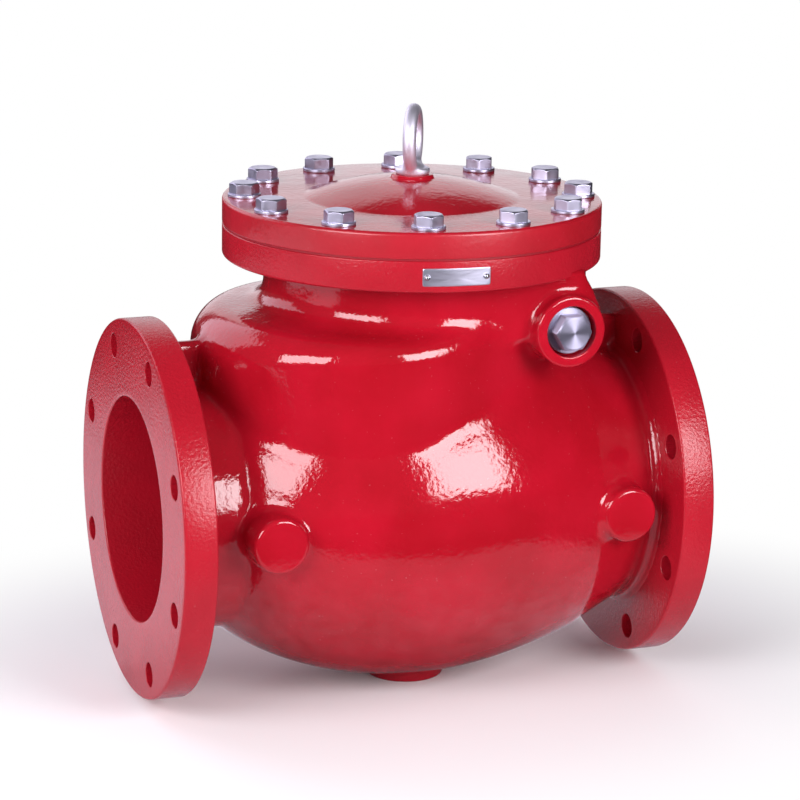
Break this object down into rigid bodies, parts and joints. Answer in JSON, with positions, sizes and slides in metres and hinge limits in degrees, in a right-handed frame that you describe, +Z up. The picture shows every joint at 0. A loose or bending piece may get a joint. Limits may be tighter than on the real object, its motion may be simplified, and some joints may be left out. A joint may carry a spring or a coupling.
{
  "type": "non-return valve",
  "caption": "Flanged swing check valve: cast body with bolted domed cover, hinged clapper on a bronze seat, side hinge plugs and a lifting eye.",
  "frame": {"origin": "centre of the inlet flange face, on the pipe axis", "axes": "+X out of the inlet flange, so the liquid runs towards -X; +Z up towards the cover; -Y towards the side that carries the blank plate"},
  "size_m": [0.4953, 0.3469, 0.5358],
  "materials": {
    "red_enamel_casting": "thick glossy red enamel over a sand casting",
    "bronze": "machined bronze",
    "fibre_gasket": "compressed fibre sheet",
    "zinc_plated_steel": "bright zinc plate",
    "polished_zinc_steel": "smooth bright plate on a forging",
    "turned_steel": "turned face with concentric marks",
    "copper_seal": "soft copper",
    "stainless_steel": "turned stainless steel",
    "bare_cast_iron": "grey cast iron with a dark primer",
    "black_rubber": "moulded rubber",
    "bare_aluminium": "satin sheet",
    "rivet_aluminium": "bright"
  },
  "bodies": {
    "root": {"body": "red_enamel_casting", "seat_ring": "bronze", "cover": "red_enamel_casting", "cover_gasket": "fibre_gasket", "cover_bolts": "zinc_plated_steel", "cover_washers": "zinc_plated_steel", "lifting_eye": "polished_zinc_steel", "pin_bush_front": "bronze", "pin_bush_rear": "bronze", "pin_plug_front": "turned_steel", "pin_plug_rear": "turned_steel", "plug_gasket_front": "copper_seal", "plug_gasket_rear": "copper_seal", "tag_plate": "bare_aluminium", "tag_rivets": "rivet_aluminium"},
    "arm": {"clapper_arm": "bare_cast_iron", "hinge_pin": "stainless_steel", "arm_dowels": "stainless_steel", "thrust_washers": "bronze"},
    "clapper": {"clapper_disc": "bare_cast_iron", "clapper_seal": "black_rubber", "seal_retainer": "bronze", "retainer_screws": "stainless_steel", "clapper_washer": "stainless_steel", "clapper_nut": "stainless_steel", "split_pin": "stainless_steel"}
  },
  "joints": [
    {"name": "clapper_swing", "type": "hinge", "parent": "root", "child": "arm", "pos_m": [-0.13565, 0, 0.173], "axis": [0, 1, 0], "range_deg": [0, 65]},
    {"name": "disc_spin", "type": "hinge", "parent": "arm", "child": "clapper", "pos_m": [-0.16553, 0, 0.00357], "axis": [0.9962, 0, -0.0872], "continuous": true}
  ]
}
